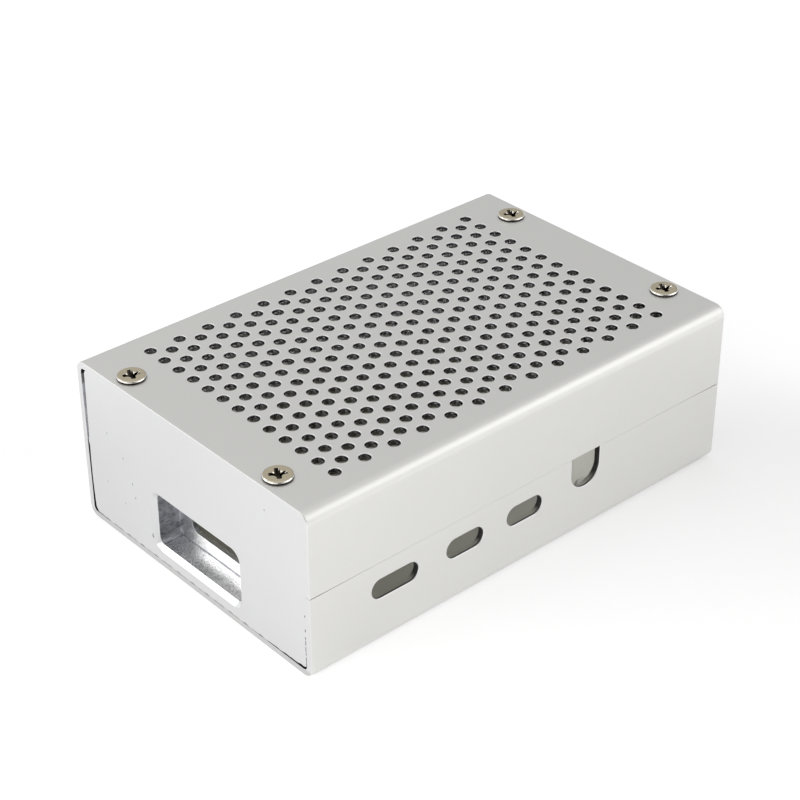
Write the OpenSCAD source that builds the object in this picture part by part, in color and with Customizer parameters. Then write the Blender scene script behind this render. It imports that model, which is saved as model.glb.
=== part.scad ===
// Case for a single-board computer: two folded sheet shells screwed to two machined end plates.
// X runs along the case from the card end to the jack end, the port wall faces -Y, Z is up.
// The origin is the middle of the underside.

/* [Board] */
// Length of the circuit board that the case is made for
board_l = 85; // [75:0.5:110]
// Width of the board
board_w = 56; // [54:0.5:70]
// Thickness of the board
board_t = 1.4; // [1:0.1:2]
// Distance from the board's edges to its fixing holes
board_hole_inset = 3.5; // [3:0.1:5]
// Spacing of the fixing holes along the board
board_hole_span = 58; // [40:0.5:66]
// Play between the board and each end plate
board_end_gap = 0.2; // [0.1:0.05:1]
// Room between the board and each side wall
board_side_gap = 1.1; // [0.8:0.1:4]
// Height of the spacers that come with the board and stand on the press nuts
spacer_h = 4.8; // [3:0.1:8]

/* [Shells] */
// Thickness of the folded sheet
wall = 1.2; // [0.8:0.1:2]
// Inside radius of the folds
fold_r = 0.8; // [0.4:0.1:2]
// Height of the seam above the board's top face
seam_rise = 6.3; // [4.5:0.1:10]
// Open width of the seam between the two shells
seam_gap = 0.05; // [0.02:0.01:0.5]

/* [Perforation] */
// Diameter of the air holes
air_hole_d = 2.1; // [1:0.1:3]
// Distance between the columns of holes along the case
column_pitch = 3; // [2.5:0.1:6]
// Distance between the holes in a column
hole_pitch = 4; // [3.5:0.1:8]
// Least distance from a case end to the first column
perforation_end_margin = 10; // [7:0.1:25]
// Least distance from a case side to the first hole
perforation_side_margin = 6; // [4:0.1:20]

/* [Ports] */
// Height of the slot ports
port_h = 3.75; // [3:0.05:5]
// Height of the slot ports' middle above the board's top face
port_rise = 1.3; // [0.5:0.1:2.5]
// Width of the power port
power_port_w = 9.8; // [6:0.1:12]
// Distance from the board's card edge to the power port
power_port_x = 11.3; // [8:0.1:14]
// Width of each video port
video_port_w = 8.1; // [6:0.1:11]
// Distance from the board's card edge to the first video port
video_port_x = 26.3; // [23:0.1:28]
// Distance between the two video ports
video_port_pitch = 13.4; // [12:0.1:15]
// Width of the audio port
audio_port_w = 6.7; // [5:0.1:8]
// Distance from the board's card edge to the audio port
audio_port_x = 54; // [51:0.1:60]
// Height of the audio port's axis above the board's top face
audio_rise = 3.1; // [2:0.1:4]

/* [End plates] */
// Thickness of the end plates
plate_t = 5.8; // [4.5:0.1:9]
// Gap between an end plate and the port wall
plate_near_gap = 0.05; // [0.02:0.01:0.4]
// Gap between an end plate and the far wall
plate_far_gap = 0.55; // [0.1:0.05:1]
// Gap between an end plate and the floor
plate_floor_gap = 0.12; // [0.05:0.01:0.3]
// Extra radius of the plates' round corners over that of the folds
plate_corner_extra = 0.05; // [0.05:0.05:1]

/* [Card pocket] */
// Width of the pocket inside its chamfer
pocket_w = 22.4; // [18:0.1:28]
// Height of the pocket inside its chamfer
pocket_h = 10; // [7:0.1:11]
// Corner radius of the pocket
pocket_r = 1.4; // [0.8:0.1:3]
// Chamfer around the mouth of the pocket
pocket_chamfer = 0.8; // [0.2:0.1:1.2]
// Thickness of the web left behind the pocket
pocket_web = 0.9; // [0.5:0.1:2]
// Shift of the pocket from the case's middle
pocket_shift = -0.8; // [-3:0.1:3]
// Depth of the pocket's middle below the board's top face
pocket_drop = 0.45; // [0:0.05:1]
// Width of the card slot in the web
card_slot_w = 15; // [12:0.1:17]
// Height of the card slot
card_slot_h = 3.2; // [2:0.1:5]
// Corner radius of the card slot
card_slot_r = 1.4; // [0.4:0.1:1.5]

/* [Jack openings] */
// Thickness of the jack end plate around its openings
jack_face_t = 2.2; // [1.2:0.1:4]
// Distance from the board's port edge to the first opening
jack_start = 1.5; // [1:0.1:3]
// Width of the openings for the two double jacks
double_jack_w = 15; // [13:0.1:15.4]
// Height of those openings above the board's top face
double_jack_h = 16.4; // [14:0.1:20]
// Width of the opening for the network jack
network_jack_w = 16.6; // [14:0.1:17]
// Height of that opening above the board's top face
network_jack_h = 13.8; // [12:0.1:16]
// Width of the bars between the openings
jack_bar = 3; // [1:0.1:3.2]
// Depth of the openings below the board's top face
jack_sill = 0.4; // [0:0.1:1]
// Step between the tall openings and the rail above them
jack_lip = 0.4; // [0.2:0.1:2]
// Corner radius of the openings
jack_r = 0.6; // [0.3:0.1:2]
// Height of the rail above the openings
top_rail = 3.8; // [2.5:0.1:8]
// Room for soldered pins between the board and the rail below it
pin_room = 2.2; // [1:0.1:3.5]

/* [Press nuts] */
// Height of the press nuts above the floor
nut_h = 2; // [1:0.1:4]
// Diameter of the press nuts
nut_d = 5; // [4:0.1:6]
// Chamfer around the top of the press nuts
nut_chamfer = 0.3; // [0.1:0.05:0.6]
// Diameter of the foot pressed into the floor
nut_foot_d = 4.2; // [3.2:0.1:5]

/* [Screws] */
// Thread diameter of every screw
screw_d = 2.5; // [2:0.1:3]
// Length of the lid screws under the head and of the base screws overall
screw_l = 5; // [4:0.1:8]
// Gap between a screw and the holes it passes
screw_gap = 0.05; // [0.02:0.01:0.2]
// Metal between a tapped hole and the plate's inner face
screw_land = 1.05; // [0.6:0.05:2]
// Distance from a side of the case to the screws
screw_side_inset = 11.1; // [7:0.1:14]
// Head diameter of the lid screws
head_d = 5; // [4:0.1:6]
// Head height of the lid screws
head_h = 0.55; // [0.45:0.05:2]
// Height of the straight rim of the head
head_rim = 0.2; // [0.05:0.05:0.35]
// Tip to tip size of the cross recess
recess_d = 3; // [1.8:0.1:3.2]
// Width of the arms of the cross recess
recess_w = 0.8; // [0.4:0.05:1]
// Depth of the cross recess
recess_h = 0.8; // [0.4:0.05:1]
// Depth of the countersunk heads below the underside
head_sink = 0.05; // [0.02:0.01:0.2]

/* [Hidden] */
$fn = 64;
// Overrun of a cut past the face it opens
over = 1;
// Angle at which each lid screw came to stop, near pair first
recess_turns = [62, 65, 72, 68];
// Share of the recess size left at its floor
recess_taper = 0.55;
// Depth of a tapped hole past the screw's tip
tap_over = 0.5;

// Overall size
case_l = plate_t + board_end_gap + board_l + board_end_gap + jack_face_t;
case_w = board_w + 2 * (board_side_gap + wall);
board_z = wall + nut_h + spacer_h;
board_top = board_z + board_t;
lid_z = board_top + double_jack_h + jack_lip + top_rail;
case_h = lid_z + wall;
seam_z = board_top + seam_rise;
inner_w = case_w - 2 * wall;

// Place of the board
board_x = -case_l / 2 + plate_t + board_end_gap;
port_z = board_top + port_rise;
video_ports = [video_port_x, video_port_x + video_port_pitch];
nut_xs = [board_x + board_hole_inset, board_x + board_hole_inset + board_hole_span];
nut_y = board_w / 2 - board_hole_inset;

// End plates
plate_w = inner_w - plate_near_gap - plate_far_gap;
plate_y = (plate_near_gap - plate_far_gap) / 2;
plate_z = wall + plate_floor_gap;
plate_h = lid_z - plate_z;
plate_corner_r = fold_r + plate_corner_extra;
pocket_depth = plate_t - pocket_web;
pocket_z = board_top - pocket_drop;

// Openings of the jack end plate, as [width, height above the board, start from the board's port edge]
jack_step = double_jack_w + jack_bar;
jack_openings = [
    [double_jack_w, double_jack_h, jack_start],
    [double_jack_w, double_jack_h, jack_start + jack_step],
    [network_jack_w, network_jack_h, jack_start + 2 * jack_step]
];
relief_z = board_z - pin_room;
relief_h = lid_z - top_rail - relief_z;

// Screws
screw_x = case_l / 2 - (plate_t - screw_land - screw_d / 2);
screw_y = case_w / 2 - screw_side_inset;
screw_r = screw_d / 2 - screw_gap;
tap_depth = screw_l - wall + tap_over;
head_round = head_h - head_rim;
// The countersunk head reaches almost through the floor
sunk_head_h = wall - 2 * head_sink;
sunk_head_r = screw_d / 2 + sunk_head_h;

// Perforation, with every second column moved by half a pitch
columns = floor((case_l / 2 - perforation_end_margin) / column_pitch);
rows = floor((case_w / 2 - perforation_side_margin) / hole_pitch);

// Flat shapes

module round_rect(w, h, r) {
    square([w - 2 * r, h], center = true);
    square([w, h - 2 * r], center = true);
    for (x = [-1, 1], y = [-1, 1])
        translate([x * (w / 2 - r), y * (h / 2 - r)])
            circle(r);
}

// A rectangle standing on y = 0 with its two lower corners rounded
module trough(w, h, r) {
    translate([-w / 2 + r, 0])
        square([w - 2 * r, h]);
    translate([-w / 2, r])
        square([w, h - r]);
    for (x = [-1, 1])
        translate([x * (w / 2 - r), r])
            circle(r);
}

// Solids that repeat

// A U of folded sheet along X, standing on z = 0
module folded_sheet(h) {
    rotate([90, 0, 90])
        linear_extrude(case_l, center = true)
            difference() {
                trough(case_w, h, fold_r + wall);
                translate([0, wall])
                    trough(inner_w, h, fold_r);
            }
}

// An upright prism along +X from x = 0, with its flat shape in the Y and Z directions
module along_x(l) {
    rotate([90, 0, 90])
        linear_extrude(l)
            children();
}

// A tapering opening along +X, wider at x = 0 by the chamfer on every side
module chamfer_mouth(w, h, r, c) {
    for (y = [-1, 1], z = [-1, 1])
        translate([0, y * (w / 2 - r), z * (h / 2 - r)])
            rotate([0, 90, 0])
                cylinder(h = c, r1 = r + c, r2 = r);
    translate([0, 0, r - h / 2])
        linear_extrude(h - 2 * r)
            polygon([[0, -w / 2 - c], [c, -w / 2], [c, w / 2], [0, w / 2 + c]]);
    translate([0, w / 2 - r, 0])
        rotate([90, 0, 0])
            linear_extrude(w - 2 * r)
                polygon([[0, -h / 2 - c], [c, -h / 2], [c, h / 2], [0, h / 2 + c]]);
}

// A slot with round ends through the port wall
module port_slot(x, w) {
    translate([board_x + x, -case_w / 2 + wall + over, port_z])
        rotate([90, 0, 0])
            linear_extrude(wall + 2 * over) {
                square([w - port_h, port_h], center = true);
                for (end = [-1, 1])
                    translate([end * (w - port_h) / 2, 0])
                        circle(d = port_h);
            }
}

// The four places of the screws, near pair first
module at_screws() {
    for (y = [0, 1], x = [0, 1])
        translate([(2 * x - 1) * screw_x, (2 * y - 1) * screw_y, 0]) {
            $screw = 2 * y + x;
            children();
        }
}

// A blank for an end plate with its inner face at x = 0 and its outer face at x = -plate_t
module plate_blank() {
    translate([-plate_t, plate_y, plate_z + plate_h / 2])
        along_x(plate_t)
            round_rect(plate_w, plate_h, plate_corner_r);
}

// Tapped holes in the top and the bottom of an end plate
module tapped_holes() {
    at_screws() {
        translate([0, 0, lid_z - tap_depth])
            cylinder(d = screw_d, h = tap_depth + over);
        translate([0, 0, wall - over])
            cylinder(d = screw_d, h = tap_depth + over);
    }
}

// A cross that tapers towards its floor at z = 0
module cross_recess() {
    intersection() {
        linear_extrude(recess_h + over) {
            square([recess_d, recess_w], center = true);
            square([recess_w, recess_d], center = true);
        }
        cylinder(h = recess_h, d1 = recess_d * recess_taper, d2 = recess_d);
    }
}

// A low round-edged head on z = 0 over a shank
module lid_screw() {
    difference() {
        union() {
            rotate_extrude() {
                square([head_d / 2, head_rim]);
                square([head_d / 2 - head_round, head_h]);
                intersection() {
                    translate([head_d / 2 - head_round, head_rim])
                        circle(head_round);
                    square([head_d, head_h]);
                }
            }
            translate([0, 0, -screw_l])
                cylinder(r = screw_r, h = screw_l);
        }
        translate([0, 0, head_h - recess_h])
            cross_recess();
    }
}

// A countersunk screw that points up, with its flat head on z = 0
module base_screw() {
    difference() {
        union() {
            cylinder(h = sunk_head_h, r1 = sunk_head_r - screw_gap, r2 = screw_r);
            cylinder(r = screw_r, h = screw_l);
        }
        translate([0, 0, recess_h])
            mirror([0, 0, 1])
                cross_recess();
    }
}

// Pieces

module upper_shell() {
    color("lightgray")
        difference() {
            translate([0, 0, case_h])
                mirror([0, 0, 1])
                    folded_sheet(case_h - seam_z - seam_gap / 2);
            translate([0, 0, lid_z - over]) {
                for (c = [-columns:columns])
                    let (half = (c + columns) % 2)
                        for (k = [-rows:rows - half])
                            translate([c * column_pitch, (k + half / 2) * hole_pitch, 0])
                                cylinder(d = air_hole_d, h = wall + 2 * over);
                at_screws()
                    cylinder(d = screw_d, h = wall + 2 * over);
            }
        }
}

module lower_shell() {
    color("lightgray")
        difference() {
            folded_sheet(seam_z - seam_gap / 2);
            port_slot(power_port_x, power_port_w);
            for (x = video_ports)
                port_slot(x, video_port_w);
            // The audio port is a notch that opens at the seam
            translate([board_x + audio_port_x, -case_w / 2 + wall + over, board_top + audio_rise])
                rotate([90, 0, 0]) {
                    cylinder(d = audio_port_w, h = wall + 2 * over);
                    translate([-audio_port_w / 2, 0, 0])
                        cube([audio_port_w, seam_rise, wall + 2 * over]);
                }
            for (x = nut_xs, y = [-1, 1])
                translate([x, y * nut_y, -over])
                    cylinder(d = nut_foot_d, h = wall + 2 * over);
            at_screws() {
                translate([0, 0, head_sink])
                    cylinder(h = sunk_head_h, r1 = sunk_head_r, r2 = screw_d / 2);
                translate([0, 0, -over])
                    cylinder(r = sunk_head_r, h = over + head_sink);
                cylinder(d = screw_d, h = wall + over);
            }
        }
}

module card_end_plate() {
    color("whitesmoke")
        difference() {
            translate([plate_t - case_l / 2, 0, 0])
                plate_blank();
            translate([-case_l / 2, pocket_shift, pocket_z]) {
                chamfer_mouth(pocket_w, pocket_h, pocket_r, pocket_chamfer);
                translate([-over, 0, 0])
                    along_x(pocket_depth + over)
                        round_rect(pocket_w, pocket_h, pocket_r);
            }
            translate([-case_l / 2, pocket_shift, board_z])
                along_x(plate_t + over)
                    round_rect(card_slot_w, card_slot_h, card_slot_r);
            tapped_holes();
        }
}

module jack_end_plate() {
    color("whitesmoke")
        difference() {
            translate([case_l / 2, 0, 0])
                plate_blank();
            // Room for the board and its jacks between the two rails
            translate([case_l / 2 - plate_t - over, -case_w / 2, relief_z])
                cube([plate_t - jack_face_t + over, case_w, relief_h]);
            for (jack = jack_openings)
                let (h = jack[1] + jack_sill)
                    translate([
                        case_l / 2 - jack_face_t - over,
                        jack[2] + jack[0] / 2 - board_w / 2,
                        board_top - jack_sill + h / 2
                    ])
                        along_x(jack_face_t + 2 * over)
                            round_rect(jack[0], h, jack_r);
            tapped_holes();
        }
}

module lid_screws() {
    color("tan")
        at_screws()
            translate([0, 0, case_h])
                rotate(recess_turns[$screw])
                    lid_screw();
}

module base_screws() {
    color("tan")
        at_screws()
            translate([0, 0, head_sink])
                base_screw();
}

// A round nut with its foot pressed into the floor and a thread right through
module press_nut(x, y) {
    color("gainsboro")
        translate([nut_xs[x], y * nut_y, 0])
            difference() {
                union() {
                    cylinder(d = nut_foot_d - 2 * screw_gap, h = wall + nut_h);
                    translate([0, 0, wall])
                        cylinder(d = nut_d, h = nut_h - nut_chamfer);
                    translate([0, 0, wall + nut_h - nut_chamfer])
                        cylinder(h = nut_chamfer, d1 = nut_d, d2 = nut_d - 2 * nut_chamfer);
                }
                translate([0, 0, -over])
                    cylinder(d = screw_d, h = wall + nut_h + 2 * over);
            }
}

upper_shell();
lower_shell();
card_end_plate();
jack_end_plate();
lid_screws();
base_screws();
press_nut(0, -1);  // press_nut_card_near
press_nut(0, 1);  // press_nut_card_far
press_nut(1, -1);  // press_nut_jack_near
press_nut(1, 1);  // press_nut_jack_far
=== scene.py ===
import math

import bmesh
import bpy
from mathutils import Matrix, Vector


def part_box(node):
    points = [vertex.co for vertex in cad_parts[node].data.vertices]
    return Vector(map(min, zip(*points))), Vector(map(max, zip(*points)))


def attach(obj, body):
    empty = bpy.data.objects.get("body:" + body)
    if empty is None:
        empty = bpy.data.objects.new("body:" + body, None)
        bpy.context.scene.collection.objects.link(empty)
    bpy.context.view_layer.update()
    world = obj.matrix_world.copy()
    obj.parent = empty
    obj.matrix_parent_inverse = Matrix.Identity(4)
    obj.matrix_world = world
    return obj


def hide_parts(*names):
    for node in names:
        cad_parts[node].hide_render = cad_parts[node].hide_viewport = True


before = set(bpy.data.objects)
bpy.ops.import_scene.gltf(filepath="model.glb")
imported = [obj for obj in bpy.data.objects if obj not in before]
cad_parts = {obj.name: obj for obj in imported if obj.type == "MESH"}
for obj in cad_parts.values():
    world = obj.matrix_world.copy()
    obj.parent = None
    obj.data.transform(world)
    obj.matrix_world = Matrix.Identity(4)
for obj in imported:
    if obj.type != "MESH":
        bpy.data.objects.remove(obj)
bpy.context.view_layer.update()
scene = bpy.context.scene
mm = 0.001

# main faces of the case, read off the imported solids
lowerLow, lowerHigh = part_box("lower_shell")
upperLow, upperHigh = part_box("upper_shell")
cardLow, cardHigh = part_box("card_end_plate")
jackLow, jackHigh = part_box("jack_end_plate")
halfLength = upperHigh.x
halfWidth = upperHigh.y
lidTop = upperHigh.z
lidUnder = cardHigh.z
wall = lidTop - lidUnder
spare = 0.5 * mm        # how far a cutter reaches past the metal
print("frame loaded, case", [round(v * 1000, 2) for v in (2 * halfLength, 2 * halfWidth, lidTop)])


# outlines are lists of (point, direction out of the outline)
def arcRun(centre, radius, fromDeg, toDeg, steps):
    run = []
    for k in range(steps + 1):
        turn = math.radians(fromDeg + (toDeg - fromDeg) * k / steps)
        out = Vector((math.cos(turn), math.sin(turn)))
        run.append((Vector(centre) + out * radius, out))
    return run


def circle(centre, radius, steps):
    return arcRun(centre, radius, 0, 360 * (steps - 1) / steps, steps - 1)


def roundRect(centre, width, height, radius, steps):
    run = []
    for quarter, (u, v) in enumerate(((1, 1), (-1, 1), (-1, -1), (1, -1))):
        middle = (centre[0] + u * (width / 2 - radius), centre[1] + v * (height / 2 - radius))
        run += arcRun(middle, radius, 90 * quarter, 90 * quarter + 90, steps)
    kept = []
    for spot in run:
        if not kept or (spot[0] - kept[-1][0]).length > 1e-7:
            kept.append(spot)
    return kept


# the same outline with points added wherever two lie further apart than the step
def finer(outline, step):
    run = []
    for k, (point, out) in enumerate(outline):
        after, outAfter = outline[(k + 1) % len(outline)]
        parts = max(1, math.ceil((after - point).length / step))
        for n in range(parts):
            run.append((point.lerp(after, n / parts), out.lerp(outAfter, n / parts)))
    return run


# quarter round from a flat face into a wall, as (outward, inward) distances
def lip(edge, steps=3, sink=None):
    turns = [math.radians(90 * k / steps) for k in range(steps + 1)]
    return [(edge * (1 - math.sin(t)), (sink or edge) * (1 - math.cos(t))) for t in turns]


# a cutter that rounds the mouth of its hole, and goes down to the depth
def mouth(edge, depth, steps=3, sink=None):
    return [(edge, -spare)] + lip(edge, steps, sink) + [(0, depth)]


# a block between two faces with rounded rims
def block(start, end, edge, steps=3):
    rim = lip(edge, steps)
    return [(-out, start + down) for out, down in rim] + [(-out, end - down) for out, down in reversed(rim)]


def skin(bm, spotRows):
    rows = [[bm.verts.new(spot) for spot in spots] for spots in spotRows]
    count = len(rows[0])
    for low, high in zip(rows, rows[1:]):
        for k in range(count):
            n = (k + 1) % count
            bm.faces.new((low[k], low[n], high[n], high[k]))
    bm.faces.new(rows[0])
    bm.faces.new(rows[-1])


def loft(bm, outline, steps, place):
    skin(bm, [[place(point + out * grow, depth) for point, out in outline] for grow, depth in steps])


# where an outline lies: first its two directions, then the way of its depth
def intoLid(point, depth):
    return (point.x, point.y, lidTop - depth)


def intoFloor(point, depth):
    return (point.x, point.y, lowerLow.z + depth)


def intoPortWall(point, depth):
    return (point.x, -halfWidth + depth, point.y)


def alongCase(point, depth):
    return (depth, point.x, point.y)


def intoCardFace(point, depth):
    return (cardLow.x + depth, point.x, point.y)


def intoJackFace(point, depth):
    return (jackHigh.x - depth, point.x, point.y)


def makePiece(name, bm):
    bmesh.ops.recalc_face_normals(bm, faces=bm.faces)
    mesh = bpy.data.meshes.new(name)
    bm.to_mesh(mesh)
    bm.free()
    piece = bpy.data.objects.new(name, mesh)
    scene.collection.objects.link(piece)
    return piece


def cut(piece, cutters):
    for bm in cutters:
        cutter = makePiece("cutter", bm)
        trim = piece.modifiers.new("cut", "BOOLEAN")
        trim.operation = "DIFFERENCE"
        trim.solver = "MANIFOLD"
        trim.object = cutter
        bpy.context.view_layer.update()
        depsgraph = bpy.context.evaluated_depsgraph_get()
        cutMesh = bpy.data.meshes.new_from_object(piece.evaluated_get(depsgraph))
        whole = piece.data
        piece.modifiers.clear()
        piece.data = cutMesh
        bpy.data.meshes.remove(whole)
        bpy.data.objects.remove(cutter)


# a line of edges around the piece, where its finish may change
def split(piece, spot, way):
    bm = bmesh.new()
    bm.from_mesh(piece.data)
    parts = bm.verts[:] + bm.edges[:] + bm.faces[:]
    bmesh.ops.bisect_plane(bm, geom=parts, plane_co=spot, plane_no=way)
    bm.to_mesh(piece.data)
    bm.free()


def finishPiece(piece, materials, chooseFinish, slotName, *nodes):
    mesh = piece.data
    mesh.materials.clear()
    for material in materials:
        mesh.materials.append(material)
    for face in mesh.polygons:
        face.material_index = chooseFinish(face.center, face.normal)
        face.use_smooth = True
    mesh.set_sharp_from_angle(angle=math.radians(38))
    even = piece.modifiers.new("evenNormals", "WEIGHTED_NORMAL")
    even.keep_sharp = True
    even.weight = 90
    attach(piece, "root")
    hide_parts(*nodes)
    print(piece.name, len(mesh.polygons), "faces")


# finishes
def addNode(tree, kind, **values):
    node = tree.nodes.new(kind)
    for key, value in values.items():
        if key in node.inputs:
            node.inputs[key].default_value = value
        else:
            setattr(node, key, value)
    return node


# a value taken from one range to another
def ramp(tree, source, start, end, low=0, high=1, smooth=True):
    node = addNode(tree, "ShaderNodeMapRange", interpolation_type="SMOOTHSTEP" if smooth else "LINEAR")
    for socket, value in zip(("From Min", "From Max", "To Min", "To Max"), (start, end, low, high)):
        node.inputs[socket].default_value = value
    tree.links.new(source, node.inputs["Value"])
    return node.outputs["Result"]


# sources are links or plain values
def combine(tree, operation, *sources, kind="ShaderNodeMath"):
    node = addNode(tree, kind, operation=operation)
    for k, source in enumerate(sources):
        if isinstance(source, bpy.types.NodeSocket):
            tree.links.new(source, node.inputs[k])
        else:
            node.inputs[k].default_value = source
    return node.outputs["Value" if operation in ("DOT_PRODUCT", "LENGTH") else 0]


def combineVectors(tree, operation, *sources):
    return combine(tree, operation, *sources, kind="ShaderNodeVectorMath")


def mixColours(tree, share):
    node = addNode(tree, "ShaderNodeMix", data_type="RGBA")
    tree.links.new(share, node.inputs["Factor"])
    colourIn = [socket for socket in node.inputs if socket.type == "RGBA"]
    colourOut = [socket for socket in node.outputs if socket.type == "RGBA"]
    return colourIn, colourOut[0]


def emptyTree(owner):
    owner.use_nodes = True
    owner.node_tree.nodes.clear()
    return owner.node_tree


def metal(name, look):
    material = bpy.data.materials.new(name)
    tree = emptyTree(material)
    link = tree.links.new
    place = addNode(tree, "ShaderNodeTexCoord")
    output = addNode(tree, "ShaderNodeOutputMaterial")
    shader = addNode(tree, "ShaderNodeBsdfPrincipled", Metallic=1.0)
    link(shader.outputs["BSDF"], output.inputs["Surface"])
    stretch = addNode(tree, "ShaderNodeMapping", Scale=look.get("stretch", (1, 1, 1)))
    link(place.outputs["Object"], stretch.inputs["Vector"])

    # fine grain of the finish drives colour, roughness and bump
    grain = addNode(tree, "ShaderNodeTexNoise", Scale=1 / look["grain"], Detail=3.0, Roughness=0.65)
    link(stretch.outputs["Vector"], grain.inputs["Vector"])
    cloud = addNode(tree, "ShaderNodeTexNoise", Scale=1 / look["cloud"], Detail=2.0)
    link(place.outputs["Object"], cloud.inputs["Vector"])

    share = look["cloudShare"]
    blendNoise = combine(tree, "MULTIPLY_ADD", cloud.outputs["Fac"], share, grain.outputs["Fac"])
    tint = ramp(tree, blendNoise, 0.25 + 0.5 * share, 0.75 + 0.5 * share, smooth=False)
    paints = []
    for colour in (look["colour"], look.get("litFromAboveColour", look["colour"])):
        shades, paint = mixColours(tree, tint)
        shades[0].default_value = (*[c * (1 - look["tone"]) for c in colour], 1)
        shades[1].default_value = (*[min(1, c * (1 + look["tone"])) for c in colour], 1)
        paints.append(paint)
    if "litFromAboveColour" in look:      # painted light: another colour where the surface faces up, as if lit from above
        facing = addNode(tree, "ShaderNodeNewGeometry")
        axes = addNode(tree, "ShaderNodeSeparateXYZ")
        link(facing.outputs["Normal"], axes.inputs[0])
        shades, paint = mixColours(tree, ramp(tree, axes.outputs["Z"], 0.55, 1))
        for source, target in zip(paints, shades):
            link(source, target)
        paints[0] = paint
    link(paints[0], shader.inputs["Base Color"])

    rough, spread = look["rough"], look["roughSpread"]
    uneven = ramp(tree, grain.outputs["Fac"], 0, 1, rough - spread, rough + spread, smooth=False)
    link(uneven, shader.inputs["Roughness"])

    bump = addNode(tree, "ShaderNodeBump", Strength=look["bump"], Distance=look["grain"] * 0.5)
    link(grain.outputs["Fac"], bump.inputs["Height"])
    link(bump.outputs["Normal"], shader.inputs["Normal"])
    return material


shellLook = {"colour": (0.745, 0.742, 0.722), "grain": 0.16 * mm, "cloud": 25 * mm, "cloudShare": 0.5,
             "tone": 0.02, "rough": 0.44, "roughSpread": 0.08, "bump": 0.12}
# a darker copy of the shell finish: painted shade on the floor sheet's end edge and on the strip before the
# end plates
footEdgeShadeLook = {"colour": (0.6, 0.6, 0.597), "grain": 0.16 * mm, "cloud": 6 * mm, "cloudShare": 0.5,
                "tone": 0.04, "rough": 0.46, "roughSpread": 0.08, "bump": 0.12}
# painted light on the lower part of the wall in the gap at the end plates
gapLightLook = {"colour": (0.82, 0.83, 0.86), "grain": 0.2 * mm, "cloud": 1.5 * mm, "cloudShare": 0.8,
           "tone": 0.16, "rough": 0.85, "roughSpread": 0.1, "bump": 0.2}
insideLook = {"colour": (0.74, 0.73, 0.665), "grain": 0.2 * mm, "cloud": 15 * mm, "cloudShare": 0.6,
              "tone": 0.05, "rough": 0.32, "roughSpread": 0.08, "bump": 0.15}
# painted shade on the walls of the air holes
holeShadeLook = {"colour": (0.48, 0.48, 0.49), "grain": 0.15 * mm, "cloud": 5 * mm, "cloudShare": 0.4,
            "tone": 0.15, "rough": 0.1, "roughSpread": 0.04, "bump": 0.06}
# painted highlight on the rounded rims of the holes and ports
rimHighlightLook = {"colour": (0.82, 0.82, 0.81), "grain": 0.1 * mm, "cloud": 5 * mm, "cloudShare": 0.4,
           "tone": 0.03, "rough": 0.34, "roughSpread": 0.08, "bump": 0.08}
# painted shade in the cut edges of the ports, in the gaps at the end plates and in the chips
paintedShadeLook = {"colour": (0.2, 0.2, 0.2), "grain": 0.15 * mm, "cloud": 5 * mm, "cloudShare": 0.4,
           "tone": 0.1, "rough": 0.35, "roughSpread": 0.1, "bump": 0.15}
# painted shade on the walls of the ports, with painted light where they face up
slotShadeLook = {"colour": (0.17, 0.17, 0.17), "litFromAboveColour": (0.7, 0.69, 0.62),
            "grain": 0.15 * mm, "cloud": 5 * mm, "cloudShare": 0.4,
            "tone": 0.1, "rough": 0.4, "roughSpread": 0.1, "bump": 0.12}
plateLook = {"colour": (0.705, 0.705, 0.708), "grain": 0.16 * mm, "cloud": 20 * mm, "cloudShare": 0.5,
             "tone": 0.025, "rough": 0.46, "roughSpread": 0.08, "bump": 0.14}
milledLook = {"colour": (0.95, 0.952, 0.958), "grain": 0.13 * mm, "cloud": 2.5 * mm, "cloudShare": 0.7,
              "tone": 0.1, "rough": 0.23, "roughSpread": 0.12, "bump": 0.6, "stretch": (1, 0.3, 0.3)}
# painted shade on one side of the pocket and in its corner at the web; also the darker colour of the nicks
sideShadeAndNickLook = {"colour": (0.35, 0.355, 0.385), "grain": 0.22 * mm, "cloud": 1.2 * mm, "cloudShare": 0.9,
            "tone": 0.45, "rough": 0.32, "roughSpread": 0.16, "bump": 0.6, "stretch": (0.22, 1, 1)}
sparkLook = {"colour": (0.9, 0.903, 0.91), "grain": 0.24 * mm, "cloud": 3 * mm, "cloudShare": 1.1,
             "tone": 0.24, "rough": 0.28, "roughSpread": 0.16, "bump": 0.55, "stretch": (0.7, 1, 1)}
# bright milled finish, given only to the up-facing part of the chamfer as a painted highlight
chamferHighlightLook = {"colour": (0.88, 0.885, 0.895), "grain": 0.13 * mm, "cloud": 2 * mm, "cloudShare": 0.4,
               "tone": 0.03, "rough": 0.3, "roughSpread": 0.06, "bump": 0.1}
# nickel; its beige tint is a painted reflection of the room
screwReflectionTintLook = {"colour": (0.55, 0.49, 0.36), "grain": 0.12 * mm, "cloud": 2 * mm, "cloudShare": 0.5,
             "tone": 0.05, "rough": 0.12, "roughSpread": 0.04, "bump": 0.04}
# painted shade in the recess and at the foot of the head
recessShadeLook = {"colour": (0.045, 0.038, 0.03), "grain": 0.12 * mm, "cloud": 1 * mm, "cloudShare": 0.5,
              "tone": 0.2, "rough": 0.25, "roughSpread": 0.08, "bump": 0.1}
# painted glints on the slopes of the recess
slopeGlintLook = {"colour": (0.84, 0.8, 0.71), "grain": 0.12 * mm, "cloud": 1 * mm, "cloudShare": 0.5,
             "tone": 0.04, "rough": 0.14, "roughSpread": 0.05, "bump": 0.05}
# painted highlight on the rounded rim and side of the screw head
headRimHighlightLook = {"colour": (0.95, 0.935, 0.89), "grain": 0.12 * mm, "cloud": 2 * mm, "cloudShare": 0.5,
              "tone": 0.03, "rough": 0.13, "roughSpread": 0.04, "bump": 0.04}
nutLook = {"colour": (0.72, 0.71, 0.66), "grain": 0.1 * mm, "cloud": 3 * mm, "cloudShare": 0.4,
           "tone": 0.06, "rough": 0.36, "roughSpread": 0.08, "bump": 0.1, "stretch": (1, 1, 5)}

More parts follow.
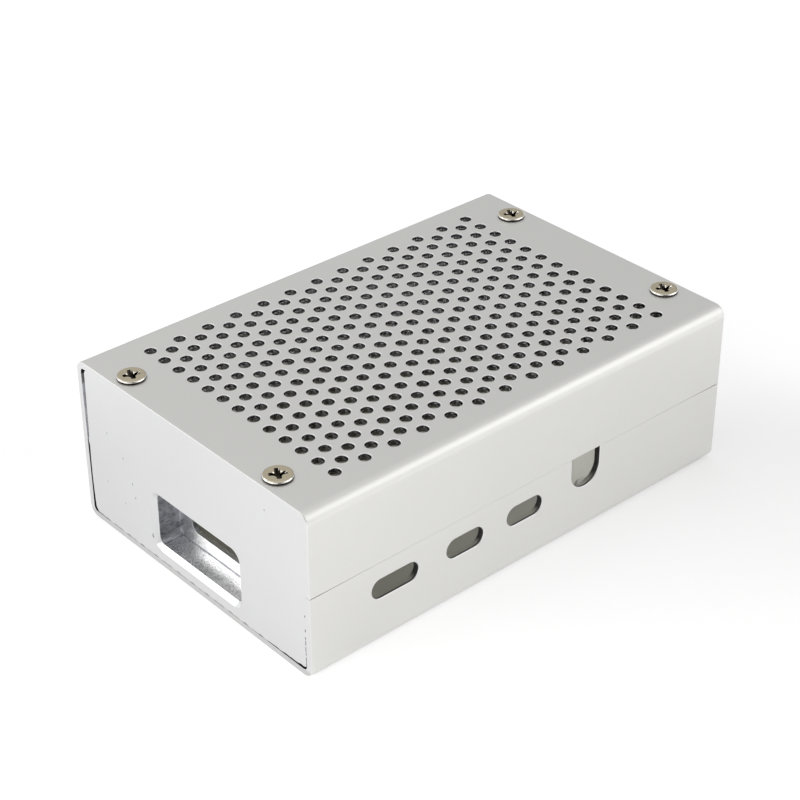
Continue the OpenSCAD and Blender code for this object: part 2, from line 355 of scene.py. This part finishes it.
shellMetal = metal("blastedShell", shellLook)
footEdgeShadeMetal = metal("footEdgePaintedShade", footEdgeShadeLook)
gapLightMetal = metal("gapWallPaintedLight", gapLightLook)
insideMetal = metal("shellInside", insideLook)
holeShadeMetal = metal("punchedHoleWallPaintedShade", holeShadeLook)
rimHighlightMetal = metal("deburredRimPaintedHighlight", rimHighlightLook)
paintedShadeMetal = metal("paintedShadeDark", paintedShadeLook)
slotShadeMetal = metal("slotWallPaintedShade", slotShadeLook)
plateMetal = metal("blastedPlate", plateLook)
milledMetal = metal("milledPocket", milledLook)
sideShadeAndNickMetal = metal("milledPocketSidePaintedShadeAndNicks", sideShadeAndNickLook)
sparkMetal = metal("milledPocketFloor", sparkLook)
chamferHighlightMetal = metal("brightChamferPaintedHighlight", chamferHighlightLook)
screwReflectionTintMetal = metal("nickelScrewPaintedReflection", screwReflectionTintLook)
headRimHighlightMetal = metal("nickelRimPaintedHighlight", headRimHighlightLook)
recessShadeMetal = metal("recessPaintedShade", recessShadeLook)
slopeGlintMetal = metal("recessSlopePaintedGlint", slopeGlintLook)
nutMetal = metal("turnedNut", nutLook)
print("finishes made")


# the two folded shells
shells = {
    "fold": 0.8 * mm,          # inside radius of the folds
    "edge": 0.025 * mm,        # broken edges of the rims
    "endEdge": 0.15 * mm,      # and of the outer edges at the case ends
    "seamClose": 0.016 * mm,   # how far each rim reaches into the seam in the middle of the case
    "seamDip": 0.04 * mm,      # how far it draws back close to the case ends
    "seamBow": 0.13 * mm,      # rise of the seam in the middle
    "foldSteps": 8,
    "airHole": 1.05 * mm,      # radius
    "airRim": 0.2 * mm,        # width of the rolled rim of a hole
    "airSink": 0.08 * mm,      # and its depth
    "airSteps": 32,
    "columnPitch": 3 * mm,
    "holePitch": 4 * mm,
    "columns": 12,             # to each side of the middle
    "rows": 6,
    "seamReach": 0.5 * mm,     # height of the rim that follows the seam
    "seamEnd": 0.012,          # share of half the length, in which the seam closes again
    "endReach": 0.2 * mm,      # how near to its end the sheet counts as end
    "screwHole": 1.25 * mm,
    "screwFromEnd": 3.5 * mm,
    "screwFromSide": 11.1 * mm,
    "gapShadeSteps": (3.2 * mm, 1.3 * mm),     # painted shade: the gap at the end plate darkens in two steps under the lid, and is painted lighter below them
}
screwX = halfLength - shells["screwFromEnd"]
screwY = halfWidth - shells["screwFromSide"]
screwSpots = [(x * screwX, y * screwY) for y in (-1, 1) for x in (-1, 1)]


# rounded corner of a rim, which draws in to one point where the case ends are rounded
def rimCorner(y, height, side, fromDeg, toDeg):
    edge, endEdge = shells["edge"], shells["endEdge"]
    drawn = Vector((y + side * endEdge, height - endEdge))
    run = arcRun((y + side * edge, height - edge), edge, fromDeg, toDeg, 3)
    return [(point, (point - drawn) / (1.15 * endEdge)) for point, out in run]


# a U of sheet standing on v = 0, its rim at v = height
def foldedSheet(height):
    fold, steps = shells["fold"], shells["foldSteps"]
    outer = fold + wall
    inner = halfWidth - wall
    run = rimCorner(-halfWidth, height, 1, 90, 180)
    run += arcRun((-halfWidth + outer, outer), outer, 180, 270, steps)
    run += arcRun((halfWidth - outer, outer), outer, 270, 360, steps)
    run += rimCorner(halfWidth, height, -1, 0, 90)
    inside = rimCorner(inner, height, 1, 90, 180)
    inside += arcRun((inner - fold, outer), fold, 0, -90, steps)
    inside += arcRun((fold - inner, outer), fold, -90, -180, steps)
    inside += rimCorner(-inner, height, -1, 0, 90)
    return run + [(point, Vector((0, 0))) for point, out in inside]     # its edges stay sharp


plateDepth = cardHigh.x - cardLow.x
shellRims = block(-halfLength, halfLength, shells["endEdge"])
stationShares = (0.988, 0.97, 0.94, 1 - plateDepth / halfLength, 0.78, 0.6, 0.4, 0.2)
stations = [share * halfLength for share in stationShares]
shellRims[4:4] = [(0, -x) for x in stations] + [(0, x) for x in reversed(stations)]
insideReach = 0.02 * mm


# height of a point of the sheet, where the rim follows the line of the seam
def sheetHeight(point, x, height, bowWay):
    if point.y < height - shells["seamReach"]:
        return point.y
    end = (abs(x) / halfLength) ** 6 * min(1, (halfLength - abs(x)) / (shells["seamEnd"] * halfLength))
    bow = bowWay * shells["seamBow"] * (1 - (x / halfLength) ** 2)
    return point.y + bow + shells["seamClose"] * (1 - end) - shells["seamDip"] * end


def shellInside(spot):
    inY = abs(spot.y) < halfWidth - wall + insideReach
    return inY and wall - insideReach < spot.z < lidUnder + insideReach


def inEndGap(spot):
    return shellInside(spot) and abs(spot.x) > halfLength - plateDepth


def shellEnd(spot, facing):
    return abs(facing.x) > 0.8 and abs(spot.x) > halfLength - shells["endReach"]


def upperFinish(spot, facing):
    if shellEnd(spot, facing):
        return 4
    if spot.z > lidUnder and abs(spot.y) < halfWidth - 2 * wall and abs(spot.x) < halfLength - wall:
        # painted shade on the walls of the holes, painted highlight on their rims
        if spot.z < lidTop - shells["airSink"] and abs(facing.z) < 0.6:
            return 2
        if spot.z < lidTop - 0.01 * shells["airSink"] and facing.z > 0:
            return 3
    # painted light low down in the gap at the end plate, then the plate colour, then painted shade under
    # the lid
    if inEndGap(spot):
        return (5, 4, 6)[sum(spot.z > lidUnder - depth for depth in shells["gapShadeSteps"])]
    return 1 if shellInside(spot) else 0


upperHeight = lidTop - upperLow.z


def placeUpper(point, x):
    return (x, point.x, lidTop - sheetHeight(point, x, upperHeight, -1))


def placeLower(point, x):
    return (x, point.x, sheetHeight(point, x, lowerHigh.z, 1))


bm = bmesh.new()
loft(bm, foldedSheet(upperHeight), shellRims, placeUpper)
upperShell = makePiece("upperShell", bm)
airCutter = bmesh.new()
for column in range(-shells["columns"], shells["columns"] + 1):
    half = (column + shells["columns"]) % 2
    for row in range(-shells["rows"], shells["rows"] + 1 - half):
        centre = (column * shells["columnPitch"], (row + half / 2) * shells["holePitch"])
        loft(airCutter, circle(centre, shells["airHole"], shells["airSteps"]),
             mouth(shells["airRim"], wall + spare, 5, shells["airSink"]), intoLid)
for spot in screwSpots:
    loft(airCutter, circle(spot, shells["screwHole"], 32), mouth(shells["airSink"], wall + spare), intoLid)
cut(upperShell, [airCutter])
for depth in shells["gapShadeSteps"]:
    split(upperShell, (0, 0, lidUnder - depth), (0, 0, 1))
upperMetals = (shellMetal, insideMetal, holeShadeMetal, rimHighlightMetal, plateMetal, gapLightMetal, paintedShadeMetal)
finishPiece(upperShell, upperMetals, upperFinish, "shell", "upper_shell")

# openings of the lower shell
boardGap = 0.2 * mm         # between the card end plate and the circuit board's edge
boardEdge = cardHigh.x + boardGap
boardTop = 9.4 * mm
ports = {
    "height": 3.75 * mm,
    "middle": boardTop + 1.3 * mm,
    "edge": 0.13 * mm,
    "paintedShadeRing": 0.45 * mm,     # depth of the ring of painted shade in the cut edge
    "slots": ((11.3 * mm, 9.8 * mm), (26.3 * mm, 8.1 * mm), (39.7 * mm, 8.1 * mm)),   # place and width
    "audioPlace": 54 * mm,
    "audioWidth": 6.7 * mm,
    "audioAxis": boardTop + 3.1 * mm,
    "footHole": 2.1 * mm,
    "footEdge": 0.05 * mm,
    "sunkHead": 2.35 * mm,
    "sink": 0.05 * mm,
}
nutNodes = ["press_nut_" + end + side for end in ("card_", "jack_") for side in ("near", "far")]
nutSpots = []
for node in nutNodes:
    low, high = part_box(node)
    nutSpots.append(((low.x + high.x) / 2, (low.y + high.y) / 2))


def lowerFinish(spot, facing):
    if shellEnd(spot, facing):
        # the end face of the floor sheet gets the darker copy of the finish: painted shade
        return 4 if spot.z > wall else 6
    inPort = abs(spot.x) < halfLength - 2 * wall and 3 * wall < spot.z < lowerHigh.z - 2 * shells["edge"]
    if inPort and -halfWidth + 0.01 * ports["edge"] < spot.y < -halfWidth + wall - insideReach:
        # painted highlight at the mouth of a port, then a ring of painted shade, then the port wall
        if spot.y < -halfWidth + ports["edge"]:
            return 3
        return 5 if spot.y > -halfWidth + ports["paintedShadeRing"] else 2
    # painted shade in the gap beside the end plates, the darker copy of the finish on the strip in front of
    # them
    if inEndGap(spot):
        return 6 if spot.x < cardLow.x or spot.x > jackHigh.x else 2
    return 1 if shellInside(spot) else 0


bm = bmesh.new()
loft(bm, foldedSheet(lowerHigh.z), shellRims, placeLower)
lowerShell = makePiece("lowerShell", bm)
portCutter = bmesh.new()
portSteps = mouth(ports["edge"], wall + spare)
portSteps.insert(-1, (0, ports["paintedShadeRing"]))
for place, width in ports["slots"]:
    middle = (boardEdge + place, ports["middle"])
    outline = roundRect(middle, width, ports["height"], ports["height"] / 2, 24)
    loft(portCutter, outline, portSteps, intoPortWall)
audioX = boardEdge + ports["audioPlace"]
audioR = ports["audioWidth"] / 2
audioTop = lowerHigh.z + 4 * spare
outline = arcRun((audioX, ports["audioAxis"]), audioR, 180, 360, 48)
outline += [(Vector((audioX + side * audioR, audioTop)), Vector((side, 0))) for side in (1, -1)]
loft(portCutter, outline, portSteps, intoPortWall)
floorCutter = bmesh.new()
for spot in nutSpots:
    steps = mouth(ports["footEdge"], wall + spare)
    loft(floorCutter, circle(spot, ports["footHole"], 40), steps, intoFloor)
for spot in screwSpots:
    slope = ports["sunkHead"] - shells["screwHole"]
    steps = [(slope, -spare), (slope, ports["sink"]), (0, ports["sink"] + slope), (0, wall + spare)]
    loft(floorCutter, circle(spot, shells["screwHole"], 40), steps, intoFloor)
cut(lowerShell, [portCutter, floorCutter])
split(lowerShell, (0, 0, wall + insideReach), (0, 0, 1))
split(lowerShell, cardLow, (1, 0, 0))
split(lowerShell, jackHigh, (1, 0, 0))
lowerMetals = (shellMetal, insideMetal, paintedShadeMetal, rimHighlightMetal, plateMetal, slotShadeMetal, footEdgeShadeMetal)
finishPiece(lowerShell, lowerMetals, lowerFinish, "shell", "lower_shell")

# end plates
plates = {
    "corner": 0.85 * mm,
    "edge": 0.02 * mm,
    "outlineStep": 0.35 * mm,
    "tap": 1.25 * mm,
    "tapDepth": 4.3 * mm,
    "wedge": 0.46 * mm,        # lift of the lower edge at the near corner
    "wedgeLength": 15 * mm,
    "underGap": 0.13 * mm,     # uneven gap between plate and floor, with two waves along it
    "shortWave": 0.41 * mm,
    "longWave": 1.5 * mm,
    "lean": 0.42 * mm,         # widening of the far gap towards the top
    "bulge": 0.15 * mm,        # narrowing of its lower half
    "touch": 0.3 * mm,         # it nearly closes at the seam
    "touchHeight": 0.5 * mm,
    "footGap": 0.22 * mm,      # and opens at the lower corner
    "footLength": 3.4 * mm,
    "nearReach": 0.04 * mm,    # how far the plate closes the gap to the port wall
    "chip": 0.13 * mm,         # depth of the chips along the near edge
    # height and half the length of each chip
    "chips": ((2.5 * mm, 0.35 * mm), (3.4 * mm, 0.55 * mm), (4.5 * mm, 0.3 * mm), (5.4 * mm, 0.6 * mm),
              (6.7 * mm, 0.5 * mm), (7.6 * mm, 0.3 * mm), (9.1 * mm, 0.3 * mm), (11.9 * mm, 0.25 * mm)),
    # place and size of each nick in the face
    "nicks": ((18.5 * mm, 17.1 * mm, 0.16 * mm), (16.3 * mm, 13 * mm, 0.2 * mm),
              (15.7 * mm, 10.5 * mm, 0.19 * mm), (24 * mm, 9.7 * mm, 0.15 * mm),
              (22.8 * mm, 20 * mm, 0.16 * mm), (19 * mm, 7.7 * mm, 0.14 * mm),
              (-20 * mm, 27 * mm, 0.18 * mm), (11.3 * mm, 5.2 * mm, 0.36 * mm)),
}
pocket = {
    "middle": (-0.8 * mm, 8.95 * mm),
    "width": 22.4 * mm,
    "height": 10 * mm,
    "corner": 1.4 * mm,
    "chamfer": 0.8 * mm,
    "rim": 0.06 * mm,          # soft outer edge of the chamfer
    "web": 0.9 * mm,
    "fillet": 0.3 * mm,        # left by the milling cutter around the floor of the pocket
    "slotMiddle": (-0.8 * mm, 8 * mm),
    "slotWidth": 15 * mm,
    "slotHeight": 3.2 * mm,
    "slotCorner": 1.4 * mm,
    "slotEdge": 0.08 * mm,
}
jacks = {
    "face": 2.2 * mm,
    "corner": 0.6 * mm,
    "edge": 0.2 * mm,
    "bottom": 9 * mm,
    "starts": (-26.5 * mm, -8.5 * mm, 9.5 * mm),
    "widths": (15 * mm, 15 * mm, 16.6 * mm),
    "heights": (16.8 * mm, 16.8 * mm, 14.2 * mm),
    "reliefLow": 5.8 * mm,
    "reliefHigh": 26.2 * mm,
    "reliefCorner": 0.2 * mm,
}


def plateBlank(name, low, high):
    middle = ((low.y + high.y) / 2, (low.z + high.z) / 2)
    bm = bmesh.new()
    outline = roundRect(middle, high.y - low.y, high.z - low.z, plates["corner"], 6)
    outline = finer(outline, plates["outlineStep"])
    bent = []
    for point, out in outline:
        y, z = point
        if z < middle[1]:
            share = max(0, low.y + plates["wedgeLength"] - y) / plates["wedgeLength"]
            waves = math.sin(y / plates["shortWave"]) * math.sin(y / plates["longWave"] + 1)
            uneven = max(0, 0.5 + 0.8 * waves)
            lift = plates["wedge"] * share ** 2.2 + plates["underGap"] * uneven
            lift += plates["footGap"] * max(0, y - high.y + plates["footLength"]) / plates["footLength"]
            lift += wall - low.z       # rests on the floor
            z += lift * (1 - (z - low.z) / (middle[1] - low.z))
        if y > middle[0]:
            share = (y - middle[0]) / (high.y - middle[0])
            rise = (z - middle[1]) / (high.z - middle[1])
            narrow = plates["lean"] * rise if rise > 0 else plates["bulge"] * math.sin(math.pi * rise)
            narrow -= plates["touch"] * math.exp(-((z - lowerHigh.z) / plates["touchHeight"]) ** 2)
            y -= share ** 8 * (narrow + plates["footGap"] * max(0, -rise) ** 6)
        else:
            y -= plates["nearReach"]
        bent.append((Vector((y, z)), out))
    loft(bm, bent, block(low.x, high.x, plates["edge"]), alongCase)
    return makePiece(name, bm)


def tappedHoles(side):
    bm = bmesh.new()
    for spot in screwSpots:
        if spot[0] * side > 0:
            hole = circle(spot, plates["tap"], 24)
            loft(bm, hole, [(0, wall - spare), (0, wall + plates["tapDepth"])], intoLid)
            loft(bm, hole, [(0, wall - spare), (0, wall + plates["tapDepth"])], intoFloor)
    return bm


cardPlate = plateBlank("cardEndPlate", cardLow, cardHigh)
pocketDepth = cardHigh.x - cardLow.x - pocket["web"]
pocketCutter = bmesh.new()
outline = roundRect(pocket["middle"], pocket["width"], pocket["height"], pocket["corner"], 8)
chamfer, rim, fillet = pocket["chamfer"], pocket["rim"], pocket["fillet"]
steps = [(chamfer + rim, -spare), (chamfer + rim, 0), (chamfer, rim * 0.6)]
steps += [(rim, chamfer), (0, chamfer + rim * 1.5)]
steps += [(-out, pocketDepth - down) for out, down in reversed(lip(fillet, 4))]
loft(pocketCutter, outline, steps, intoCardFace)
slotCutter = bmesh.new()
slotSize = (pocket["slotWidth"], pocket["slotHeight"])
outline = roundRect(pocket["slotMiddle"], *slotSize, pocket["slotCorner"], 8)
slotEdge = pocket["slotEdge"]
steps = [(slotEdge, pocketDepth - 2 * spare)]
steps += [(out, pocketDepth + down) for out, down in lip(slotEdge)]
steps.append((0, cardHigh.x - cardLow.x + spare))
loft(slotCutter, outline, steps, intoCardFace)
chipCutter = bmesh.new()
for height, length in plates["chips"]:
    longer = Matrix.Diagonal((1, 1, length / plates["chip"], 1))
    place = Matrix.Translation((cardLow.x, cardLow.y, height)) @ longer
    bmesh.ops.create_icosphere(chipCutter, subdivisions=2, radius=plates["chip"], matrix=place)
for y, z, size in plates["nicks"]:
    place = Matrix.Translation((cardLow.x - 0.3 * size, y, z)) @ Matrix.Diagonal((1, 0.7, 1.3, 1))
    bmesh.ops.create_icosphere(chipCutter, subdivisions=2, radius=size, matrix=place)
cut(cardPlate, [pocketCutter, slotCutter, tappedHoles(-1), chipCutter])


nicks = [(Vector((cardLow.x, y, z)), size) for y, z, size in plates["nicks"]]


def cardFinish(spot, facing):
    # painted shade in the chips along the near edge; the nicks in the face get a darker colour as marks
    if cardLow.x + 0.0003 * mm < spot.x < cardLow.x + plates["chip"]:
        chipped = any(abs(spot.z - height) < length for height, length in plates["chips"])
        if chipped and spot.y < cardLow.y + plates["chip"]:
            return 2
        if any((spot - nick).length < 1.4 * size for nick, size in nicks):
            return 4
    inY = abs(spot.y - pocket["middle"][0]) < pocket["width"] / 2 + chamfer
    inZ = abs(spot.z - pocket["middle"][1]) < pocket["height"] / 2 + chamfer
    if not (inY and inZ and cardLow.x + 0.1 * rim < spot.x < cardHigh.x - plates["edge"]):
        return 0
    # painted highlight where the chamfer faces up
    if spot.x < cardLow.x + chamfer:
        return 5 if facing.z > 0.5 else 0
    above = spot.z - pocket["middle"][1] + pocket["height"] / 2
    beside = pocket["middle"][0] + pocket["width"] / 2 - spot.y
    beforeWeb = cardLow.x + pocketDepth - spot.x
    # painted shade in the corner fillet at the web and on the pocket walls that face towards -y
    if 0 < beforeWeb < 0.7 * fillet and min(above, beside) < 0.7 * fillet:
        return 4
    if facing.y < -0.25:
        return 4
    return 3 if facing.z > 0.7 and beforeWeb > 0 else 1


cardMetals = (plateMetal, milledMetal, paintedShadeMetal, sparkMetal, sideShadeAndNickMetal, chamferHighlightMetal)
finishPiece(cardPlate, cardMetals, cardFinish, "plate", "card_end_plate")

jackPlate = plateBlank("jackEndPlate", jackLow, jackHigh)
reliefCutter = bmesh.new()
reliefMiddle = (0, (jacks["reliefLow"] + jacks["reliefHigh"]) / 2)
reliefHeight = jacks["reliefHigh"] - jacks["reliefLow"]
outline = roundRect(reliefMiddle, 2 * halfWidth, reliefHeight, jacks["reliefCorner"], 3)
reliefEnd = jackHigh.x - jacks["face"]
loft(reliefCutter, outline, [(0, jackLow.x - spare), (0, reliefEnd)], alongCase)
windowCutter = bmesh.new()
for start, width, height in zip(jacks["starts"], jacks["widths"], jacks["heights"]):
    middle = (start + width / 2, jacks["bottom"] + height / 2)
    outline = roundRect(middle, width, height, jacks["corner"], 6)
    loft(windowCutter, outline, mouth(jacks["edge"], jacks["face"] + spare), intoJackFace)
cut(jackPlate, [reliefCutter, windowCutter, tappedHoles(1)])


def jackFinish(spot, facing):
    return 1 if spot.x < jackHigh.x - jacks["edge"] and abs(spot.y) < jackHigh.y - wall else 0


finishPiece(jackPlate, (plateMetal, milledMetal), jackFinish, "plate", "jack_end_plate")

# lid screws
screwLow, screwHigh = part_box("lid_screws")
screws = {
    "head": screwHigh.x - screwSpots[1][0],
    "height": screwHigh.z - lidTop,
    "rim": 0.2 * mm,
    "foot": 0.05 * mm,         # broken lower edge of the head
    # painted shade at the foot of the head, up to this height
    "footShade": 0.26 * mm,
    "shank": 1.2 * mm,
    "point": 0.3 * mm,         # broken end of the shank
    "length": lidTop - screwLow.z,
    "recess": 1.5 * mm,        # half of its tip to tip size
    "arm": 0.4 * mm,           # half of an arm's width
    "depth": 0.8 * mm,
    "taper": 0.65 * mm,        # how much shorter an arm is at its floor
    "web": 0.7 * mm,           # rounding of the inner corners at the top
    "webLow": 0.1 * mm,        # and below
    "webDepth": 0.35 * mm,
    "turns": (62, 65, 72, 68),
    "steps": 64,
}
headRound = screws["height"] - screws["rim"]


# a cross with rounded tips and inner corners, which are cut back towards the top
def crossOutline(depth):
    sunk = max(0, depth)
    arm = screws["arm"]
    reach = screws["recess"] - screws["taper"] * sunk / screws["depth"]
    web = screws["webLow"] + (screws["web"] - screws["webLow"]) * max(0, 1 - sunk / screws["webDepth"])
    tip = 0.4 * arm
    run = []
    for quarter in range(4):
        turn = Matrix.Rotation(math.radians(90 * quarter), 2)
        ends = arcRun((reach - tip, tip - arm), tip, -90, 0, 3)
        ends += arcRun((reach - tip, arm - tip), tip, 0, 90, 3)
        corner = arcRun((arm + web, arm + web), web, 270, 180, 5)
        run += [turn @ point for point, out in ends + corner]
    return run


shank, shankPoint = screws["shank"], screws["point"]
headSteps = [(shank - shankPoint, -screws["length"]), (shank, shankPoint - screws["length"]), (shank, 0)]
headSteps += [(screws["head"] - screws["foot"], 0), (screws["head"], screws["foot"])]
headSteps += [(screws["head"], screws["footShade"]), (screws["head"], screws["rim"])]
for k in range(1, 8):
    turn = math.radians(90 * k / 7)
    drawnIn = headRound * (1 - math.cos(turn))
    headSteps.append((screws["head"] - drawnIn, screws["rim"] + headRound * math.sin(turn)))
bm = bmesh.new()
recessCutter = bmesh.new()
headTop = lidTop + screws["height"]
for spot, turnDeg in zip(screwSpots, screws["turns"]):
    loft(bm, circle((0, 0), 0, screws["steps"]), headSteps,
         lambda p, h: (spot[0] + p.x, spot[1] + p.y, lidTop + h))
    turn = math.radians(turnDeg)

    def intoHead(point, depth):
        u = point.x * math.cos(turn) - point.y * math.sin(turn)
        v = point.x * math.sin(turn) + point.y * math.cos(turn)
        return (spot[0] + u, spot[1] + v, headTop - depth)

    depths = (-spare, 0, screws["webDepth"], screws["depth"])
    skin(recessCutter, [[intoHead(point, depth) for point in crossOutline(depth)] for depth in depths])
lidScrews = makePiece("lidScrews", bm)
cut(lidScrews, [recessCutter])


# painted shade in the recess and at the foot of the head, painted highlights on the slopes of the recess
# and on the rounded rim of the head
def screwFinish(spot, facing):
    if spot.z < lidTop + screws["footShade"]:
        return 1
    reach = min(math.hypot(spot.x - x, spot.y - y) for x, y in screwSpots)
    if reach > screws["recess"] or spot.z > headTop - 0.001 * mm:
        return 3 if facing.z < 0.8 else 0
    crossEnd = reach > screws["recess"] - 0.8 * screws["taper"] and abs(facing.y) > abs(facing.x)
    return 2 if 0.25 < facing.z < 0.9 and not crossEnd else 1


screwMetals = (screwReflectionTintMetal, recessShadeMetal, slopeGlintMetal, headRimHighlightMetal)
finishPiece(lidScrews, screwMetals, screwFinish, "screw", "lid_screws")

# solids that show as they are
for node, material in [("base_screws", screwReflectionTintMetal)] + [(node, nutMetal) for node in nutNodes]:
    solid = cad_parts[node]
    solid.data.materials.clear()
    solid.data.materials.append(material)
print("pieces made")

# floor, light and camera
studio = {
    "floorSize": 6,
    "floorDrop": 0.02 * mm,
    "floorColour": 0.62,
    "leftGlow": 0.66,          # glow of the floor, only to the camera and in reflections; painted light, brighter to the left
    "rightGlow": 0.355,
    "leftEnd": -80 * mm,
    "rightEnd": 70 * mm,
    "farGlow": 0.36,           # painted light: more of it away from the case
    "cornerShade": 0.13,        # painted shade: less of it at the far left corner
    "cornerWay": (-0.6, 0.8, 0),
    "cornerFrom": 30 * mm,
    "cornerTo": 80 * mm,
    "backGlow": 0.12,          # painted light: more of it towards the back of the room
    "backWay": (0.663, 0.749, 0),
    "backFrom": 8 * mm,
    "backTo": 45 * mm,
    "contact": 1.9 * mm,       # painted contact shade: the glow ends this far under the edges of the case
    "contactFade": 1.3 * mm,
    "farFrom": 45 * mm,
    "farTo": 95 * mm,
    "horizon": 0.628,
    "zenith": 1.01,
    "jackSide": -0.268,        # change of the room's level towards the jack end
    "shadeWay": (-0.559, -0.631, 0.539),   # the room is darkest on this side
    "shadeInner": 20,
    "shadeOuter": 45,
    "shadeLevel": 0.1,
    "lamps": (                 # way to the lamp, distance, width, height, power
        ("leftBack", (-0.535, 0.634, 0.558), 0.9, 0.28, 0.28, 0.76),
        ("rightFront", (0.6, -0.66, 0.48), 1.0, 0.9, 0.74, 2.1),
        ("left", (-0.84, -0.3, 0.43), 0.34, 0.3, 0.26, 0.15),
    ),
}
bpy.ops.mesh.primitive_plane_add(size=studio["floorSize"], location=(0, 0, -studio["floorDrop"]))
floor = bpy.context.object
floor.name = "floor"
paper = bpy.data.materials.new("paper")
tree = emptyTree(paper)
link = tree.links.new
rays = addNode(tree, "ShaderNodeLightPath").outputs
seen = combine(tree, "MAXIMUM", rays["Is Camera Ray"], rays["Is Glossy Ray"])
seen = combine(tree, "MAXIMUM", seen, rays["Is Transmission Ray"])
# distance from the rim of the case's underside
floorSpot = addNode(tree, "ShaderNodeTexCoord").outputs["Object"]
caseRim = (halfLength - studio["contact"], halfWidth - studio["contact"], 0)
mirrored = combineVectors(tree, "ABSOLUTE", floorSpot)
beyond = combineVectors(tree, "SUBTRACT", mirrored, caseRim)
outside = combineVectors(tree, "MAXIMUM", beyond, (0, 0, 0))
away = combineVectors(tree, "LENGTH", outside)
nearShare = ramp(tree, away, 0, studio["contactFade"])
floorAxes = addNode(tree, "ShaderNodeSeparateXYZ")
link(floorSpot, floorAxes.inputs[0])
# painted light and shade in the floor's glow: brighter to the left, far from the case and towards the back,
# less at the far left corner, none under the edges of the case
sideGlow = ramp(tree, floorAxes.outputs["X"], studio["leftEnd"], studio["rightEnd"],
                studio["leftGlow"], studio["rightGlow"], smooth=False)
cornerWay = combineVectors(tree, "DOT_PRODUCT", floorSpot, studio["cornerWay"])
cornerShade = ramp(tree, cornerWay, studio["cornerFrom"], studio["cornerTo"], 0, studio["cornerShade"])
nearGlow = combine(tree, "MULTIPLY", nearShare, combine(tree, "SUBTRACT", sideGlow, cornerShade))
farGlow = ramp(tree, away, studio["farFrom"], studio["farTo"], 0, studio["farGlow"])
backWay = combineVectors(tree, "DOT_PRODUCT", floorSpot, studio["backWay"])
backGlow = ramp(tree, backWay, studio["backFrom"], studio["backTo"], 0, studio["backGlow"])
glowSum = combine(tree, "ADD", nearGlow, combine(tree, "ADD", farGlow, backGlow))
shade = addNode(tree, "ShaderNodeBsdfDiffuse", Color=(*[studio["floorColour"]] * 3, 1))
glow = addNode(tree, "ShaderNodeEmission")
link(combine(tree, "MULTIPLY", seen, glowSum), glow.inputs["Strength"])
both = addNode(tree, "ShaderNodeAddShader")
link(shade.outputs[0], both.inputs[0])
link(glow.outputs[0], both.inputs[1])
output = addNode(tree, "ShaderNodeOutputMaterial")
link(both.outputs[0], output.inputs["Surface"])
floor.data.materials.append(paper)

world = bpy.data.worlds.new("softRoom")
scene.world = world
tree = emptyTree(world)
link = tree.links.new
way = addNode(tree, "ShaderNodeTexCoord").outputs["Generated"]
axes = addNode(tree, "ShaderNodeSeparateXYZ")
link(way, axes.inputs[0])
level = ramp(tree, axes.outputs["Z"], 0, 1, studio["horizon"], studio["zenith"], smooth=False)
across = combine(tree, "MULTIPLY_ADD", axes.outputs["X"], studio["jackSide"], level)
near = combineVectors(tree, "DOT_PRODUCT", way, Vector(studio["shadeWay"]).normalized())
shadeFrom, shadeTo = [math.cos(math.radians(studio[key])) for key in ("shadeOuter", "shadeInner")]
shading = ramp(tree, near, shadeFrom, shadeTo, 1, studio["shadeLevel"])
sky = addNode(tree, "ShaderNodeBackground", Color=(1, 1, 1, 1))
link(combine(tree, "MULTIPLY", across, shading), sky.inputs["Strength"])
output = addNode(tree, "ShaderNodeOutputWorld")
link(sky.outputs[0], output.inputs["Surface"])

for name, way, far, width, height, power in studio["lamps"]:
    lampData = bpy.data.lights.new(name, "AREA")
    lampData.shape = "RECTANGLE"
    lampData.size = width
    lampData.size_y = height
    lampData.energy = power
    lamp = bpy.data.objects.new(name, lampData)
    scene.collection.objects.link(lamp)
    lampWay = Vector(way).normalized()
    lamp.location = lampWay * far
    lamp.rotation_euler = lampWay.to_track_quat("Z", "Y").to_euler()

view = {
    "place": (-0.1952047, -0.2200806, 0.2036941),
    "turn": (57.6848, 0.2092, -41.4632),
    "lens": 90.49,
    "sensor": 36,
}
cameraData = bpy.data.cameras.new("camera")
cameraData.lens = view["lens"]
cameraData.sensor_width = view["sensor"]
cameraData.clip_start = 0.01
camera = bpy.data.objects.new("camera", cameraData)
camera.location = view["place"]
camera.rotation_euler = [math.radians(a) for a in view["turn"]]
scene.collection.objects.link(camera)
scene.camera = camera
scene.view_settings.view_transform = "Standard"
print("studio set")
